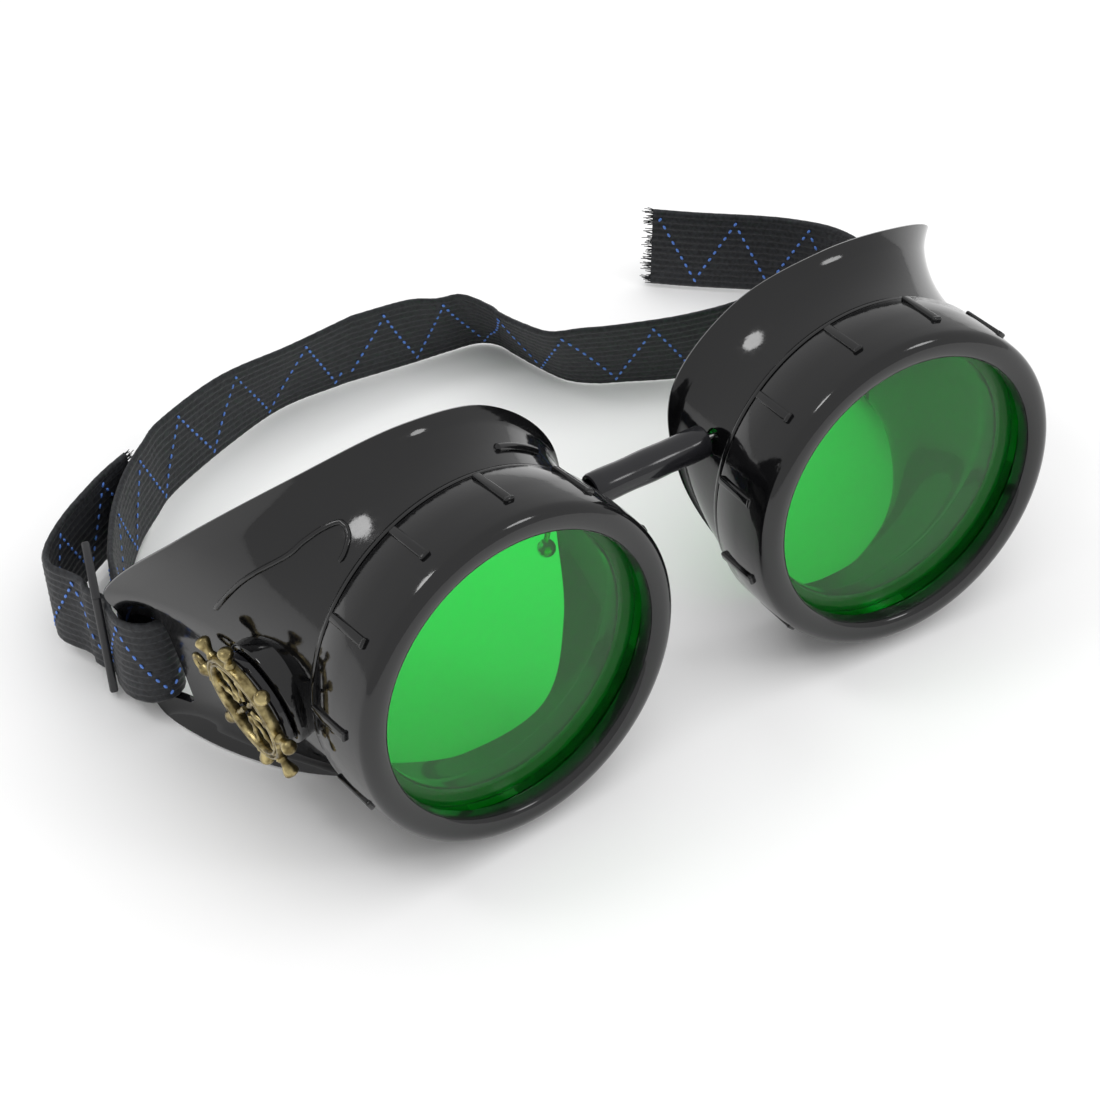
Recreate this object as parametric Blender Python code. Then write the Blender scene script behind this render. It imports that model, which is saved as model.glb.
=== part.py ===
"""Two-cup welding goggles with screw-on lens rings, a sleeved chain bridge and an elastic strap.

Lengths below are in millimetres and angles in degrees. World +Z is up, the lenses face -Y, the strap
lies behind at +Y, and the object stands on Z = 0. Each cup is drawn in its own frame: x towards the
nose, y backwards along the lens axis, z up, with the origin where the lens axis leaves the ring.
"""
import math

import bmesh
import bpy
import numpy as np
from mathutils import Matrix, Vector

MM = 0.001
LEFT, RIGHT = -1, 1
SIDE_NAMES = {LEFT: "left", RIGHT: "right"}
SEGMENTS = 60

# Where the cups stand
HALF_SPACING = 36.6
LENS_HEIGHT = 30.35
TOE_IN = 3.8
TIP_UP = 7.7
CENTRE_SHIFT = Vector((-2.0, -51.94, 0.23))

# Lens stack: a 50 mm green lens behind a clear cover lens, on a fibre gasket
OPENING_RADIUS = 23.75
LENS_RADIUS = 25.0
STACK = {"cover_lens": (2.3, 3.6), "green_lens": (3.9, 6.1), "lens_gasket": (6.4, 7.2)}
GASKET_INNER_RADIUS = 22.6

# Retaining ring
RING_RADIUS = 28.6
RING_FRONT = -1.0
RING_REAR = 12.0
RING_BORE_RADIUS = 27.0
RING_POCKET_RADIUS = 25.4
RIB_COUNT = 12
RIB_LENGTH = 8.7
RIB_WIDTH = 1.5
RIB_HEIGHT = 0.45
RIB_PHASE = {LEFT: 23.4, RIGHT: 14.4}

# Cup: a threaded barrel, a shoulder band and an eye-shaped shell
BARREL_FRONT = 7.5
BARREL_RADIUS = 26.5
BARREL_BORE_RADIUS = 24.3
LEDGE_RADIUS = 22.3
SHOULDER_RADIUS = 28.2
SHOULDER_FRONT = 12.4
SHOULDER_REAR = 13.5
SHELL_RADIUS = 27.4
WALL = 2.0
LIP = 1.6
SHELL_ROWS = 7
# Rim of the shell: angle on the shoulder from the nose side, then x, z and depth y
RIM = (
    (0, 26.0, 0.0, 25.4),
    (30, 26.2, 15.0, 27.0),
    (60, 15.4, 27.3, 25.6),
    (90, 0.0, 32.2, 24.0),
    (120, -17.2, 29.6, 27.4),
    (146, -31.8, 20.4, 38.5),
    (170, -38.4, 5.4, 55.5),
    (184, -35.2, -4.4, 58.6),
    (205, -33.6, -22.0, 58.0),
    (218, -31.8, -23.4, 48.5),
    (231, -27.6, -24.6, 39.0),
    (243, -21.6, -25.8, 30.8),
    (256, -12.6, -26.9, 23.6),
    (272, -1.6, -27.5, 18.6),
    (300, 13.6, -23.6, 16.2),
    (330, 21.6, -12.4, 19.6),
)

# Strap slot in the temple wall, in front of a bar that the strap goes round
SLOT_CENTRE = Vector((-33.0, 53.0, -10.3))
SLOT_SIZE = (16.0, 5.6, 18.6)

# Bridge: a bead chain through the nose walls, in a sleeve
HINGE = Vector((13.3, 20.5, 38.85))
BRIDGE_HOLE_RADIUS = 1.35
SLEEVE_HALF_LENGTH = 10.2
SLEEVE_RADIUS = 2.7
SLEEVE_BORE_RADIUS = 1.9
BALL_RADIUS = 1.5
BALL_BORE_RADIUS = 0.7
BALL_PLACES = (-8.0, -4.0, 0.0, 4.0, 8.0)
# The chain's right half beyond the sleeve, from the hinge line's height: its last ball hangs in the cup
CHAIN_END_ROUTE = (
    (11.0, 0.0, 0.0), (15.2, 0.0, 0.0), (17.6, 0.0, -1.0), (19.2, -0.1, -2.8), (19.8, -0.2, -4.8), (19.8, -0.2, -6.4),
)
END_BALL_PLACE = (19.8, -0.2, -6.6)
LINK_RADIUS = 0.45

# Ship's wheel charm on a round button, on the left cup's temple wall
CHARM_CENTRE = Vector((-27.3, 24.86, -1.58))
CHARM_NORMAL = Vector((-0.989, -0.011, -0.148))
CHARM_LOOP_DIRECTION = Vector((-0.02, 1.0, 0.035))
PAD_RADIUS = 8.8
PAD_HEIGHT = 2.4
BUTTON_RADIUS = 8.0
BUTTON_HEIGHT = 4.4
WHEEL_GAP = 0.25
WHEEL_RIM_RADIUS = 9.0
WHEEL_RIM_WIDTH = 1.5
WHEEL_THICKNESS = 1.8
SPOKES = 8
KNOB_RADIUS = 12.4
HANGING_LOOP = (13.1, 1.5, 0.5)

# Strap: one band of elastic webbing on its edge, as (x, y, height of its lower edge). Where it leans,
# two more numbers say how far its upper edge stands off its lower edge in x and y.
STRAP_WIDTH = 17.6
STRAP_THICKNESS = 1.3
STRAP_STEP = 1.6
LEFT_END_ROUTE = (
    (-58.3, 91.7, 0.8), (-62.6, 89.4, 1.2), (-66.6, 87.0, 1.4), (-74.0, 81.6, 2.0), (-79.4, 76.2, 2.4),
    (-81.2, 71.6, 2.8),
)
LEFT_LOOP_ROUTE = (
    (-77.8, 53.4, 3.5), (-77.0, 51.0, 3.9), (-75.6, 49.3, 4.1), (-73.6, 48.6, 4.1), (-71.4, 48.7, 4.1),
    (-69.8, 50.2, 4.0), (-69.6, 53.4, 3.8), (-71.2, 56.8, 3.4),
)
MAIN_ROUTE = (
    (-74.4, 59.3, 3.0), (-73.2, 63.9, 2.8), (-71.7, 68.6, 2.3), (-69.4, 73.4, 1.8), (-66.6, 78.6, 1.4),
    (-63.4, 83.4, 1.0), (-59.4, 88.2, 0.8), (-54.4, 92.8, 0.5), (-48.3, 97.5, 0.4, -0.7, -0.7),
    (-34.4, 103.6, 0.4, -0.8, -1.7), (-20.7, 107.8, 0.4, 0.3, -4.4), (-7.0, 107.7, 0.4, 0.8, -3.1),
    (6.0, 106.0, 0.4, -1.4, -2.9), (14.0, 105.2, 0.4, -4.0, -4.0), (20.4, 104.2, 0.4, -5.5, -4.0),
    (23.8, 101.4, 0.4, -6.0, -6.0), (25.0, 97.0, 0.4, -7.0, -4.5), (26.6, 90.8, 0.4, -7.0, -3.6),
    (28.8, 84.9, 0.4, -6.5, -3.1), (32.6, 81.2, 0.4, -5.0, -2.6), (37.2, 78.7, 0.4, -4.0, -3.0),
    (46.8, 73.6, 0.5, -2.3, -2.6), (56.0, 70.6, 1.0, -0.5, -2.4), (64.0, 68.4, 1.8), (70.0, 65.6, 2.6),
    (72.6, 61.8, 3.0), (72.7, 59.0, 3.3),
)
RIGHT_LOOP_ROUTE = (
    (71.2, 56.8, 3.4), (69.6, 53.4, 3.8), (69.8, 50.2, 4.0), (71.4, 48.7, 4.1), (73.6, 48.6, 4.1),
    (75.6, 49.3, 4.1), (76.9, 51.0, 3.8),
)
FREE_END_ROUTE = (
    (85.2, 70.6, 2.0), (84.2, 76.6, 1.4), (81.2, 82.2, 0.8), (76.4, 87.6, 0.5), (66.4, 95.9, 0.4), (59.9, 101.6, 0.4),
)

# Slides: a plate with two slots. The strap goes over the bar between them and under the plate's ends.
SLIDE_SIZE = (14.0, 1.4, 21.6)
SLIDE_SLOT = (4.8, 6.0, 18.4)
SLIDE_SLOT_PLACE = 3.1
SLIDE_CENTRE = {LEFT: Vector((-76.9, 64.0, 11.8)), RIGHT: Vector((80.2, 61.0, 11.8))}
SLIDE_ALONG = {LEFT: Vector((0.3, 0.954, 0.0)), RIGHT: Vector((0.12, 0.993, 0.0))}
# The strap through a slide, as (place along it, offset outwards), from the end away from the cup
WEAVE = ((3.6, 3.2), (0.8, 1.8), (-0.5, 1.75), (-3.1, 0.0), (-5.8, -1.75), (-7.8, -1.75))
WEAVE_HEIGHT = 3.0


def material(name, colour, roughness, metallic=0.0, alpha=1.0):
    made = bpy.data.materials.new(name)
    made.use_nodes = True
    shader = made.node_tree.nodes["Principled BSDF"]
    shader.inputs["Base Color"].default_value = (*colour, 1.0)
    shader.inputs["Roughness"].default_value = roughness
    shader.inputs["Metallic"].default_value = metallic
    shader.inputs["Alpha"].default_value = alpha
    made.diffuse_color = (*colour, alpha)
    return made


def empty(name, matrix, parent=None):
    made = bpy.data.objects.new(name, None)
    bpy.context.collection.objects.link(made)
    made.parent = parent
    made.matrix_local = matrix
    return made


def solid(name, bm, look, parent=None, matrix=None, side=LEFT):
    """An object from a bmesh drawn in millimetres. The right-hand one is the left one mirrored in x."""
    mirror = -1.0 if side == RIGHT else 1.0
    bmesh.ops.transform(bm, matrix=Matrix.Diagonal((MM * mirror, MM, MM, 1.0)), verts=bm.verts)
    bmesh.ops.recalc_face_normals(bm, faces=bm.faces)
    mesh = bpy.data.meshes.new(name)
    bm.to_mesh(mesh)
    bm.free()
    mesh.shade_smooth()
    mesh.set_sharp_from_angle(angle=math.radians(35))
    made = bpy.data.objects.new(name, mesh)
    bpy.context.collection.objects.link(made)
    made.parent = parent
    made.matrix_local = matrix or Matrix.Identity(4)
    if look:
        mesh.materials.append(look)
    return made


def combine(target, other, operation):
    """A Boolean of target with a helper that isn't part of the object."""
    other.hide_render = True
    other.display_type = "WIRE"
    cut = target.modifiers.new(other.name, "BOOLEAN")
    cut.operation = operation
    cut.object = other


def ring_of(bm, rows):
    """A closed body from loops of points, each joined to the next and the last to the first."""
    loops = [[bm.verts.new(point) for point in row] for row in rows]
    for low, high in zip(loops, loops[1:] + loops[:1]):
        for i in range(len(low)):
            j = (i + 1) % len(low)
            bm.faces.new((low[i], low[j], high[j], high[i]))
    return bm


def turned(profile, segments=SEGMENTS):
    """A ring about the y axis, from its (radius, y) profile."""
    angles = [2 * math.pi * i / segments for i in range(segments)]
    rows = [[(r * math.cos(a), y, r * math.sin(a)) for a in angles] for r, y in profile]
    return ring_of(bmesh.new(), rows)


def cylinder(radius, start, end, segments=32):
    """A bmesh cylinder from start to end."""
    bm = bmesh.new()
    add_cylinder(bm, radius, radius, start, end, segments)
    return bm


def add_cylinder(bm, radius_start, radius_end, start, end, segments):
    start, end = Vector(start), Vector(end)
    turn = (end - start).to_track_quat("Z", "Y").to_matrix().to_4x4()
    bmesh.ops.create_cone(
        bm, cap_ends=True, segments=segments, radius1=radius_start, radius2=radius_end,
        depth=(end - start).length, matrix=Matrix.Translation((start + end) / 2) @ turn,
    )


def tube(path, radius, segments):
    """A round bar along a path that lies in a plane of constant y, nearly."""
    bm = bmesh.new()
    loops = []
    for k, point in enumerate(path):
        ahead = path[min(k + 1, len(path) - 1)] - path[max(k - 1, 0)]
        side = Vector((0.0, 1.0, 0.0)).cross(ahead).normalized()
        across = ahead.cross(side).normalized()
        turns = [2 * math.pi * i / segments for i in range(segments)]
        loops.append([bm.verts.new(point + radius * (math.cos(a) * side + math.sin(a) * across)) for a in turns])
    for near, far in zip(loops, loops[1:]):
        for i in range(segments):
            j = (i + 1) % segments
            bm.faces.new((near[i], near[j], far[j], far[i]))
    bm.faces.new(loops[0])
    bm.faces.new(reversed(loops[-1]))
    return bm


def box(size, matrix=None):
    bm = bmesh.new()
    bmesh.ops.create_cube(bm, size=1.0, matrix=(matrix or Matrix.Identity(4)) @ Matrix.Diagonal((*size, 1.0)))
    return bm


def smooth_path(points, step):
    """Points about a step apart on a Catmull-Rom curve through the given rows of numbers."""
    points = [np.array(point, float) for point in points]
    padded = [2 * points[0] - points[1], *points, 2 * points[-1] - points[-2]]
    path = []
    for a, b, c, d in zip(padded, padded[1:], padded[2:], padded[3:]):
        pieces = max(1, round(float(np.linalg.norm((c - b)[:3])) / step))
        for k in range(pieces):
            t = k / pieces
            path.append(0.5 * (2 * b + (c - a) * t + (2 * a - 5 * b + 4 * c - d) * t ** 2
                               + (3 * b - a - 3 * c + d) * t ** 3))
    return [*path, points[-1]]


def rim_point(angle):
    """The rim at an angle in degrees: a cubic through the RIM rows, as a vector (x, y, z)."""
    rows = [(RIM[-2][0] - 360, *RIM[-2][1:]), (RIM[-1][0] - 360, *RIM[-1][1:]), *RIM]
    rows += [(row[0] + 360, *row[1:]) for row in RIM[:3]]
    k = next(i for i in range(2, len(rows)) if rows[i][0] > angle) - 1
    before, low, high, after = (Vector((r[1], r[3], r[2])) for r in rows[k - 1:k + 3])
    a0, a1, a2, a3 = (r[0] for r in rows[k - 1:k + 3])
    t = (angle - a1) / (a2 - a1)
    slope_low = (high - before) * (a2 - a1) / (a2 - a0)
    slope_high = (after - low) * (a2 - a1) / (a3 - a1)
    return (low * (2 * t ** 3 - 3 * t ** 2 + 1) + slope_low * (t ** 3 - 2 * t ** 2 + t)
            + high * (3 * t ** 2 - 2 * t ** 3) + slope_high * (t ** 3 - t ** 2))


def shell_point(angle, t, inset):
    """A point of the shell at t from the shoulder, 0, to the rim, 1, inset towards the lens axis."""
    rim = rim_point(angle)
    a = math.radians(angle)
    spread = 0.35 * t + 0.65 * t ** 3
    x = SHELL_RADIUS * math.cos(a) * (1 - spread) + rim.x * spread
    z = SHELL_RADIUS * math.sin(a) * (1 - spread) + rim.z * spread
    y = SHOULDER_REAR + (rim.y - SHOULDER_REAR) * t
    keep = 1 - inset / math.hypot(x, z)
    return Vector((x * keep, y, z * keep))


def cup(side, look, frame):
    angles = [360 * i / SEGMENTS for i in range(SEGMENTS)]

    def circle(radius, y):
        return [Vector((radius * math.cos(math.radians(a)), y, radius * math.sin(math.radians(a)))) for a in angles]

    steps = [i / SHELL_ROWS for i in range(SHELL_ROWS + 1)]
    outside = [[shell_point(a, t, 0.0) for a in angles] for t in steps]
    inside = [[shell_point(a, t, WALL) for a in angles] for t in steps[1:-1]]
    edge = [[shell_point(a, 1.0, LIP) for a in angles]]
    rows = [
        circle(LEDGE_RADIUS, BARREL_FRONT), circle(BARREL_RADIUS, BARREL_FRONT),
        circle(BARREL_RADIUS, SHOULDER_FRONT), circle(SHOULDER_RADIUS, SHOULDER_FRONT),
        circle(SHOULDER_RADIUS, SHOULDER_REAR), *outside, *edge, *reversed(inside),
        circle(BARREL_BORE_RADIUS, SHOULDER_FRONT), circle(BARREL_BORE_RADIUS, BARREL_FRONT + 1.4),
        circle(LEDGE_RADIUS, BARREL_FRONT + 1.4),
    ]
    name = SIDE_NAMES[side]
    body = solid(f"{name}_eye_cup", ring_of(bmesh.new(), rows), look, frame, side=side)
    to_cup = Matrix.Diagonal((1 / MM, 1 / MM, 1 / MM, 1.0)) @ cup_matrix(LEFT).inverted()
    ends = [to_cup @ (Vector((x, HINGE.y, HINGE.z)) * MM) for x in (-HINGE.x - 6.0, -HINGE.x + 6.0)]
    hole = cylinder(BRIDGE_HOLE_RADIUS, *ends, 16)
    combine(body, solid(f"{name}_bridge_hole", hole, None, frame, side=side), "DIFFERENCE")
    if side == LEFT:
        pad = cylinder(PAD_RADIUS, (0, 0, -1.6), (0, 0, PAD_HEIGHT), 40)
        combine(body, solid("charm_pad", pad, None, frame, charm_place()), "UNION")
    slot = box(SLOT_SIZE, Matrix.Translation(SLOT_CENTRE))
    combine(body, solid(f"{name}_strap_slot", slot, None, frame, side=side), "DIFFERENCE")
    return body


def retaining_ring(side, look, frame):
    profile = (
        (OPENING_RADIUS, 0.2), (24.3, -0.6), (25.2, RING_FRONT), (26.2, RING_FRONT), (27.1, -0.5), (27.9, 0.4),
        (28.3, 1.6), (RING_RADIUS, 3.6),
        (RING_RADIUS, RING_REAR), (RING_BORE_RADIUS, RING_REAR), (RING_BORE_RADIUS, 7.3),
        (RING_POCKET_RADIUS, 7.3), (RING_POCKET_RADIUS, 2.0), (OPENING_RADIUS, 2.0),
    )
    name = SIDE_NAMES[side]
    body = solid(f"{name}_retaining_ring", turned(profile), look, frame, side=side)
    ribs = bmesh.new()
    for k in range(RIB_COUNT):
        turn = Matrix.Rotation(-math.radians(RIB_PHASE[side] + 360 * k / RIB_COUNT), 4, "Y")
        place = Matrix.Translation((RING_RADIUS - 0.4, RING_REAR - 0.3 - RIB_LENGTH / 2, 0.0))
        size = Matrix.Diagonal((2 * RIB_HEIGHT + 0.3, RIB_LENGTH, RIB_WIDTH, 1.0))
        bmesh.ops.create_cube(ribs, size=1.0, matrix=turn @ place @ size)
    combine(body, solid(f"{name}_ribs", ribs, None, frame, side=side), "UNION")
    return body


def lens_stack(side, looks, frame):
    name = SIDE_NAMES[side]
    for piece in ("cover_lens", "green_lens"):
        front, rear = STACK[piece]
        disc = cylinder(LENS_RADIUS, (0, front, 0), (0, rear, 0), SEGMENTS)
        solid(f"{name}_{piece}", disc, looks[piece], frame, side=side)
    front, rear = STACK["lens_gasket"]
    profile = ((GASKET_INNER_RADIUS, front), (LENS_RADIUS, front), (LENS_RADIUS, rear), (GASKET_INNER_RADIUS, rear))
    solid(f"{name}_lens_gasket", turned(profile), looks["lens_gasket"], frame, side=side)


def bridge(looks, root):
    """The sleeve, and the bead chain whose end beads sit inside the cups."""
    length = SLEEVE_HALF_LENGTH
    profile = ((SLEEVE_BORE_RADIUS, -length), (SLEEVE_RADIUS, -length), (SLEEVE_RADIUS, length),
               (SLEEVE_BORE_RADIUS, length))
    lie = Matrix.Translation((0.0, HINGE.y * MM, HINGE.z * MM)) @ Matrix.Rotation(math.radians(90), 4, "Z")
    solid("bridge_sleeve", turned(profile, 24), looks["sleeve"], root, lie)
    place = Matrix.Translation((0.0, HINGE.y * MM, HINGE.z * MM))
    ends = [Vector(point) for point in smooth_path(CHAIN_END_ROUTE, 1.0)]
    wire = [Vector((-p.x, p.y, p.z)) for p in reversed(ends)] + ends
    solid("chain_link_wire", tube(wire, LINK_RADIUS, 12), looks["chain"], root, place)
    end = Vector(END_BALL_PLACE)
    balls = [Vector((-end.x, end.y, end.z)), *(Vector((x, 0.0, 0.0)) for x in BALL_PLACES), end]
    bore = math.asin(BALL_BORE_RADIUS / BALL_RADIUS)
    turns = [bore + (math.pi - 2 * bore) * i / 7 for i in range(8)]
    profile = [(BALL_RADIUS * math.sin(a), -BALL_RADIUS * math.cos(a)) for a in turns]
    for k, centre in enumerate(balls):
        wire_way = Vector((0.0, 0.0, 1.0)) if abs(centre.x) == end.x else Vector((1.0, 0.0, 0.0))
        turn = wire_way.to_track_quat("Y", "Z").to_matrix().to_4x4()
        solid(f"chain_ball_{k + 1}", turned(profile, 16), looks["chain"], root,
              place @ Matrix.Translation(centre * MM) @ turn)


def charm_place():
    """The charm's own frame on the left cup, with z out of the temple and x towards its hanging loop."""
    out = CHARM_NORMAL.normalized()
    up = (CHARM_LOOP_DIRECTION - out * CHARM_LOOP_DIRECTION.dot(out)).normalized()
    turn = Matrix((up, out.cross(up), out)).transposed().to_4x4()
    return Matrix.Translation(CHARM_CENTRE * MM) @ turn


def charm(looks, frame):
    """The ship's wheel and the button behind it."""
    place = charm_place()
    button = cylinder(BUTTON_RADIUS, (0, 0, PAD_HEIGHT + WHEEL_GAP), (0, 0, BUTTON_HEIGHT), 40)
    solid("charm_button", button, looks["button"], frame, place)
    low = BUTTON_HEIGHT + WHEEL_GAP
    high = low + WHEEL_THICKNESS
    middle = (low + high) / 2
    angles = [2 * math.pi * i / 40 for i in range(40)]
    inner, outer = WHEEL_RIM_RADIUS - WHEEL_RIM_WIDTH, WHEEL_RIM_RADIUS
    rows = [[(r * math.cos(a), r * math.sin(a), z) for a in angles]
            for r, z in ((inner, low), (outer, low), (outer, high), (inner, high))]
    wheel = solid("ships_wheel_charm", ring_of(bmesh.new(), rows), looks["charm"], frame, place)
    spokes = bmesh.new()
    hub = cylinder(1.9, (0, 0, low), (0, 0, high + 0.3), 20)
    combine(wheel, solid("wheel_hub", hub, None, frame, place), "UNION")
    for k in range(SPOKES):
        a = 2 * math.pi * k / SPOKES
        out = Vector((math.cos(a), math.sin(a), 0.0))
        up = Vector((0.0, 0.0, middle))
        reach = (1.0, KNOB_RADIUS - 2.0)
        add_cylinder(spokes, 0.55, 0.55, reach[0] * out + up, reach[1] * out + up, 8)
    combine(wheel, solid("wheel_spokes", spokes, None, frame, place), "UNION")
    for k in range(SPOKES):
        a = 2 * math.pi * k / SPOKES
        out = Vector((math.cos(a), math.sin(a), 0.0))
        up = Vector((0.0, 0.0, middle))
        knob = bmesh.new()
        add_cylinder(knob, 0.75, 1.25, (outer - 0.6) * out + up, (KNOB_RADIUS - 0.8) * out + up, 10)
        combine(wheel, solid(f"wheel_knob_{k + 1}", knob, None, frame, place), "UNION")
    reach, major, minor = HANGING_LOOP
    sides = [2 * math.pi * i / 10 for i in range(10)]
    rows = [[(reach + (major + minor * math.cos(b)) * math.cos(a), (major + minor * math.cos(b)) * math.sin(a),
              middle + minor * math.sin(b)) for a in angles[::2]] for b in sides]
    combine(wheel, solid("hanging_loop", ring_of(bmesh.new(), rows), None, frame, place), "UNION")


def weave(side):
    """The strap's way through a slide, from the end away from the cup to the end beside it."""
    along = SLIDE_ALONG[side].normalized()
    out = Vector((side * abs(along.y), -abs(along.x), 0.0))
    points = [SLIDE_CENTRE[side] + s * along + offset * out for s, offset in WEAVE]
    return [Vector((p.x, p.y, WEAVE_HEIGHT)) for p in points]


def strap(look, root):
    """The whole strap, from its left end, round both cups' bars, to its free right end."""
    route = [*LEFT_END_ROUTE, *weave(LEFT), *LEFT_LOOP_ROUTE, *MAIN_ROUTE, *RIGHT_LOOP_ROUTE]
    route += [*reversed(weave(RIGHT)), *FREE_END_ROUTE]
    path = smooth_path([(*row, 0.0, 0.0)[:5] for row in route], STRAP_STEP)
    bm = bmesh.new()
    loops = []
    for k, row in enumerate(path):
        ahead = Vector((path[min(k + 1, len(path) - 1)] - path[max(k - 1, 0)])[:3])
        point, lean = Vector(row[:3]), Vector((row[3], row[4], 0.0))
        up = lean + Vector((0.0, 0.0, math.sqrt(STRAP_WIDTH ** 2 - lean.length_squared)))
        out = ahead.cross(up).normalized() * STRAP_THICKNESS / 2
        loops.append([bm.verts.new(p) for p in (point - out, point + out, point + out + up, point - out + up)])
    for near, far in zip(loops, loops[1:]):
        for i in range(4):
            j = (i + 1) % 4
            bm.faces.new((near[i], near[j], far[j], far[i]))
    bm.faces.new(loops[0])
    bm.faces.new(reversed(loops[-1]))
    solid("elastic_strap", bm, look, root)


def slide(side, look, parent, base):
    """A strap slide: a plate with two slots, and the bar between them."""
    along = SLIDE_ALONG[side]
    turn = Matrix.Rotation(math.atan2(along.y, along.x), 4, "Z")
    place = base.inverted() @ Matrix.Translation(SLIDE_CENTRE[side] * MM) @ turn
    name = SIDE_NAMES[side]
    body = solid(f"{name}_strap_slide", box(SLIDE_SIZE), look, parent, place)
    slots = bmesh.new()
    for x in (-SLIDE_SLOT_PLACE, SLIDE_SLOT_PLACE):
        bmesh.ops.create_cube(slots, size=1.0, matrix=Matrix.Translation((x, 0, 0)) @ Matrix.Diagonal((*SLIDE_SLOT, 1)))
    combine(body, solid(f"{name}_slide_slots", slots, None, parent, place), "DIFFERENCE")


def cup_matrix(side):
    """From a cup's own frame to the world: tipped up, toed in and set beside the middle plane."""
    place = Matrix.Translation(Vector((side * HALF_SPACING, 0.0, LENS_HEIGHT)) * MM)
    turn = Matrix.Rotation(-side * math.radians(TOE_IN), 4, "Z")
    tip = Matrix.Rotation(-math.radians(TIP_UP), 4, "X")
    return place @ turn @ tip


def build():
    for old in list(bpy.data.objects):
        bpy.data.objects.remove(old, do_unlink=True)
    black = material("gloss_black_plastic", (0.012, 0.012, 0.013), 0.12)
    looks = {
        "cover_lens": material("clear_lens", (0.85, 0.95, 0.9), 0.03, alpha=0.3),
        "green_lens": material("green_lens", (0.03, 0.6, 0.12), 0.05, alpha=0.6),
        "lens_gasket": material("grey_fibre", (0.22, 0.2, 0.18), 0.85),
        "sleeve": material("black_sleeve", (0.015, 0.016, 0.018), 0.2),
        "chain": material("nickel_chain", (0.6, 0.6, 0.6), 0.25, 1.0),
        "button": material("button_black", (0.01, 0.01, 0.012), 0.08),
        "charm": material("antique_brass", (0.45, 0.36, 0.17), 0.35, 1.0),
    }
    webbing = material("black_webbing", (0.03, 0.032, 0.036), 0.9)
    slide_look = material("slider_plastic", (0.03, 0.03, 0.032), 0.4)
    shift = Matrix.Translation(CENTRE_SHIFT * MM)
    root = empty("bridge_centre", shift)
    bridge(looks, root)
    for side in (LEFT, RIGHT):
        name = SIDE_NAMES[side]
        hinge_at = Matrix.Translation(Vector((side * HINGE.x, HINGE.y, HINGE.z)) * MM)
        hinge = empty(f"{name}_hinge", hinge_at, root)
        frame = empty(f"{name}_lens_axis", hinge_at.inverted() @ cup_matrix(side), hinge)
        cup(side, black, frame)
        lens_stack(side, looks, frame)
        retaining_ring(side, black, frame)
        slide(side, slide_look, hinge, hinge_at)
        if side == LEFT:
            charm(looks, frame)
    strap(webbing, root)


build()
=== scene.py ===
"""The look of the welding goggles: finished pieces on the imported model, in a pale studio.

Lengths are in millimetres and angles in degrees unless a name says otherwise. Each cup is drawn in its
own frame, as in the CAD model: x towards the nose, y backwards along the lens axis, z up.
"""
import math
import random

import bmesh
import bpy
import numpy as np
from mathutils import Matrix, Vector


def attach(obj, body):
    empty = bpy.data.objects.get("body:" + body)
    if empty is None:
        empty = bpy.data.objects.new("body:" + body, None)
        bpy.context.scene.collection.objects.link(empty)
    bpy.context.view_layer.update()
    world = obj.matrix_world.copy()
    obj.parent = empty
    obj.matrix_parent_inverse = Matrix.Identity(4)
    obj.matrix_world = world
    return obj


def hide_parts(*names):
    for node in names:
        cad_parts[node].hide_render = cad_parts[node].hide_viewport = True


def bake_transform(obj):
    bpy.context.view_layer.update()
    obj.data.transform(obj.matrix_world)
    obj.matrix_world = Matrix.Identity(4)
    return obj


MM = 0.001
LEFT, RIGHT = -1, 1
NAMES = {LEFT: "left", RIGHT: "right"}
# Places below are measured from a point midway between the cups. This takes them to the CAD model's frame.
SHIFT = Vector((-2.0, -51.94, 0.23))
SHARP_ANGLE = 40
WEBBING_SHARP_ANGLE = 60

# Where the cups stand
HALF_SPACING, LENS_HEIGHT, TOE_IN, TIP_UP = 36.6, 30.35, 3.8, 7.7

# Lenses, as (front, rear) depths, and the ring that holds them
LENS_RADIUS = 25.0
LENS_DEPTHS = {"cover_lens": (2.3, 3.6), "green_lens": (3.9, 6.1)}
OPENING_RADIUS = 23.75
RING_RADIUS, RING_REAR, RING_BORE_RADIUS, RING_POCKET_RADIUS = 28.6, 12.0, 27.0, 25.4
RIB_COUNT = 12
RIB_PHASE = {LEFT: 23.4, RIGHT: 14.4}
RIB_SIZE, RIB_FILLET, RIB_REAR = (0.95, 8.3, 1.45), 0.34, 11.75
RIB_FOOT_SIZE, RIB_FOOT_FILLET, RIB_FOOT_DEPTH = (1.05, 0.75, 1.75), 0.3, 3.55

# Cup: a threaded barrel, a shoulder band and an eye-shaped shell
BARREL_FRONT, BARREL_RADIUS, BARREL_BORE_RADIUS, LEDGE_RADIUS = 7.5, 26.4, 24.3, 22.3
THREAD_PITCH, THREAD_DEPTH, THREAD_FRONT, THREAD_STEP, THREAD_ROWS = 2.0, 0.4, 7.8, 0.2, 22
SHOULDER_RADIUS, SHOULDER_FRONT, SHOULDER_REAR = 28.2, 12.4, 13.5
SHELL_RADIUS = 27.4
WALL = 2.0
SHELL_ROWS, INNER_ROWS = 44, 20
# The shell's outside ends at LIP_START of the way to the rim, where a rounded lip turned outwards closes it
LIP_START, LIP_FLARE, FLARE_START, LIP_THICKNESS, LIP_DEPTH = 0.98, 1.0, 0.84, 1.15, 0.9
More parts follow.
